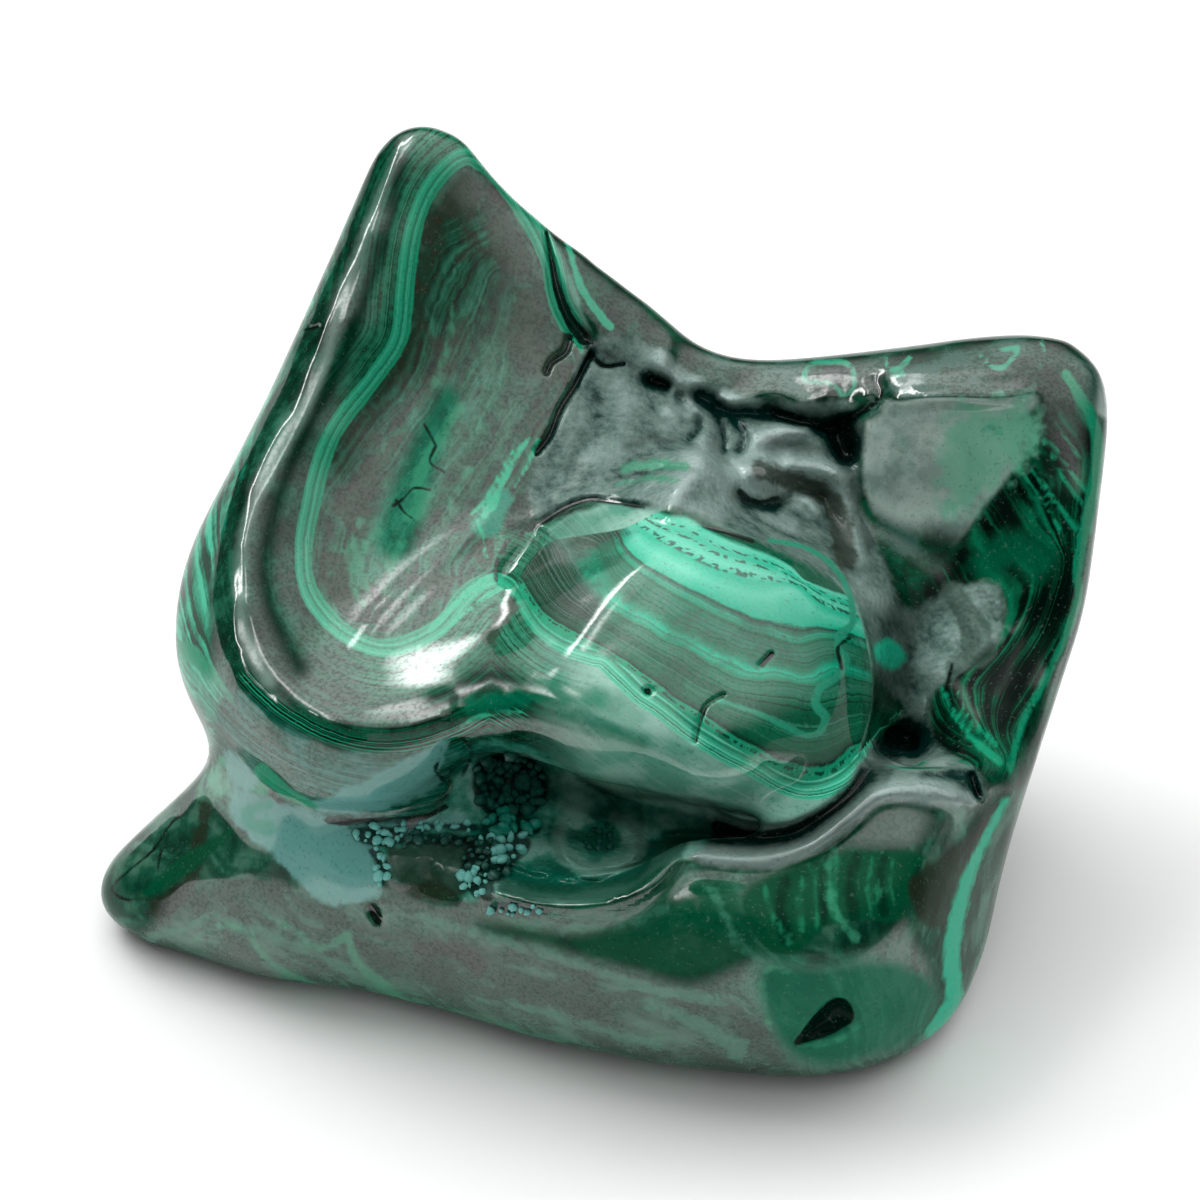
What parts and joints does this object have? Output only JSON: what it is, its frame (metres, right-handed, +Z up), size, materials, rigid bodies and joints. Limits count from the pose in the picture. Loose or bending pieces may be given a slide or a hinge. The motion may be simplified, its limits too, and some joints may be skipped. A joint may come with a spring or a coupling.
{
  "type": "malachite specimen",
  "caption": "Polished free-form malachite stone with a peak, a flared shoulder, a banded lobe over an undercut hollow and a flat base.",
  "frame": {"origin": "on the ground, under the middle of the stone's box", "axes": "+Z up, X across the front from the foot (-X) to the shoulder (+X), -Y towards the viewer"},
  "size_m": [0.1003, 0.075, 0.074],
  "materials": {
    "malachite": "stone polished to a wet gloss, banded dark green, mint and grey-green, with unpolished satin hollows",
    "druse_crust": "crust of small turquoise and dark green crystals, sugary and dull"
  },
  "bodies": {
    "root": {"malachite": "malachite", "druse_crust": "druse_crust"}
  },
  "joints": []
}
